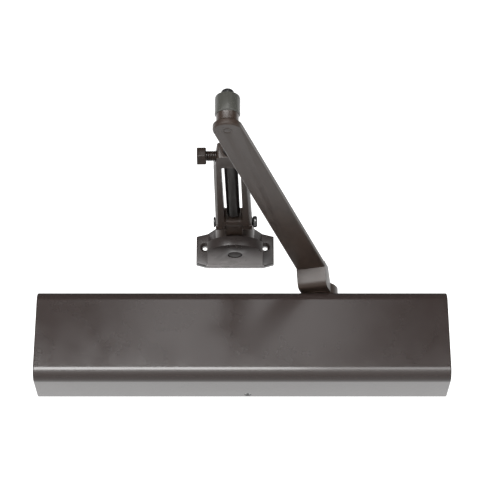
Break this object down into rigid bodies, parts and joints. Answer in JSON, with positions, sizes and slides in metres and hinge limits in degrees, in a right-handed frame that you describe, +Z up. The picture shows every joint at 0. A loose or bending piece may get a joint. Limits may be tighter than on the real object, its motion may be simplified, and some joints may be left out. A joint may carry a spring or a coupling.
{
  "type": "door closer",
  "caption": "Surface door closer: spring and rack-and-pinion body under a full rectangular cover, with a jointed regular arm and a screw-on foot.",
  "frame": {"origin": "centre of the mounting face that lies on the door, at the middle of the body's length and height", "axes": "+X along the closer towards its pinion end, +Y into the door, +Z up along the pinion axis towards the arm"},
  "size_m": [0.32, 0.2725, 0.1214],
  "materials": {
    "bronze_paint": "satin dark bronze paint",
    "bronze_forging": "dark bronze paint over a forging",
    "foot_paint": "dark bronze paint over a casting, a little lighter and duller",
    "socket_paint": "grey bronze paint",
    "black_steel": "glossy black oxide",
    "rod_steel": "dark phosphated steel",
    "bolt_steel": "dark bronze fastener",
    "cast_aluminium": "as cast with machined faces",
    "zinc_steel": "zinc plated",
    "bearing_steel": "ground",
    "piston_iron": "machined cast iron",
    "spring_steel": "oiled spring wire",
    "seal_rubber": "oil resistant rubber",
    "valve_brass": "turned brass",
    "nylon": "moulded nylon"
  },
  "bodies": {
    "closer": {"housing": "cast_aluminium", "cover": "bronze_paint", "cover_bracket": "zinc_steel", "cover_screw": "black_steel", "left_end_cap": "zinc_steel", "right_end_cap": "zinc_steel", "end_cap_seals": "seal_rubber", "passage_plugs": "bearing_steel", "upper_bearing_cup": "bearing_steel", "lower_bearing_cup": "bearing_steel", "bearing_needles": "bearing_steel", "shaft_seals": "seal_rubber", "upper_bearing_nut": "zinc_steel", "lower_bearing_nut": "zinc_steel", "main_spring": "spring_steel"},
    "piston_rack": {"piston": "piston_iron", "piston_seals": "seal_rubber", "check_valve_ball": "bearing_steel", "check_valve_seat": "valve_brass"},
    "seat": {"spring_seat": "zinc_steel"},
    "power_adjuster": {"power_screw": "zinc_steel", "power_screw_seal": "seal_rubber"},
    "sweep_needle": {"sweep_valve": "valve_brass"},
    "latch_needle": {"latch_valve": "valve_brass"},
    "backcheck_needle": {"backcheck_valve": "valve_brass"},
    "shaft_arm": {"pinion_shaft": "bearing_steel", "main_arm": "bronze_forging", "arm_washer": "black_steel", "arm_screw": "black_steel", "elbow_stud": "bronze_forging", "elbow_spacer": "nylon", "elbow_washer": "black_steel", "elbow_nut": "black_steel"},
    "elbow_rod": {"elbow_socket": "socket_paint", "rod": "rod_steel"},
    "forearm": {"forearm_frame": "bronze_forging", "fork_pin": "black_steel"},
    "clamp": {"clamp_bolt": "bolt_steel"},
    "swivel_block": {"knuckle": "bronze_forging"},
    "foot": {"foot_bracket": "foot_paint", "swivel_pin": "foot_paint", "swivel_washers": "nylon"}
  },
  "joints": [
    {"name": "pinion_turn", "type": "hinge", "parent": "closer", "child": "shaft_arm", "pos_m": [0.0611, -0.02, 0], "axis": [0, 0, 1], "range_deg": [-165, 0], "stiffness_Nm_per_rad": 6, "springref_deg": 126.05},
    {"name": "piston_slide", "type": "slide", "parent": "closer", "child": "piston_rack", "axis": [1, 0, 0], "range_m": [-0.0217, 0], "deforming": ["main_spring"]},
    {"name": "power_turn", "type": "hinge", "parent": "closer", "child": "power_adjuster", "pos_m": [-0.13, -0.019, 0], "axis": [1, 0, 0], "range_deg": [0, 1441]},
    {"name": "seat_slide", "type": "slide", "parent": "closer", "child": "seat", "axis": [1, 0, 0], "range_m": [0, 0.008], "deforming": ["main_spring"]},
    {"name": "elbow_turn", "type": "hinge", "parent": "shaft_arm", "child": "elbow_rod", "pos_m": [-0.0098, -0.2625, 0.06], "axis": [0, 0, 1], "range_deg": [-3, 150]},
    {"name": "forearm_slide", "type": "slide", "parent": "elbow_rod", "child": "forearm", "axis": [0.0214, 0.9998, 0], "range_m": [0, 0.07]},
    {"name": "clamp_turn", "type": "hinge", "parent": "forearm", "child": "clamp", "pos_m": [-0.02526, -0.19525, 0.07], "axis": [-0.9998, 0.0214, 0], "range_deg": [0, 360]},
    {"name": "foot_tilt", "type": "hinge", "parent": "forearm", "child": "swivel_block", "pos_m": [-0.00613, -0.09134, 0.07], "axis": [-0.9998, 0.0214, 0], "range_deg": [-10, 10]},
    {"name": "foot_swivel", "type": "hinge", "parent": "swivel_block", "child": "foot", "pos_m": [-0.0055, -0.062, 0.07], "axis": [0, 0, 1], "range_deg": [-68, 68]},
    {"name": "sweep_turn", "type": "hinge", "parent": "closer", "child": "sweep_needle", "pos_m": [0.084, -0.035, 0.021], "axis": [0, 1, 0], "range_deg": [0, 360]},
    {"name": "latch_turn", "type": "hinge", "parent": "closer", "child": "latch_needle", "pos_m": [0.104, -0.035, 0.021], "axis": [0, 1, 0], "range_deg": [0, 360]},
    {"name": "backcheck_turn", "type": "hinge", "parent": "closer", "child": "backcheck_needle", "pos_m": [0.084, -0.035, -0.021], "axis": [0, 1, 0], "range_deg": [0, 360]}
  ],
  "couplings": [
    {"joint": "piston_slide", "follows": "pinion_turn", "m_per_rad": 0.0075},
    {"joint": "power_turn", "follows": "seat_slide", "rad_per_m": 3141.6}
  ]
}
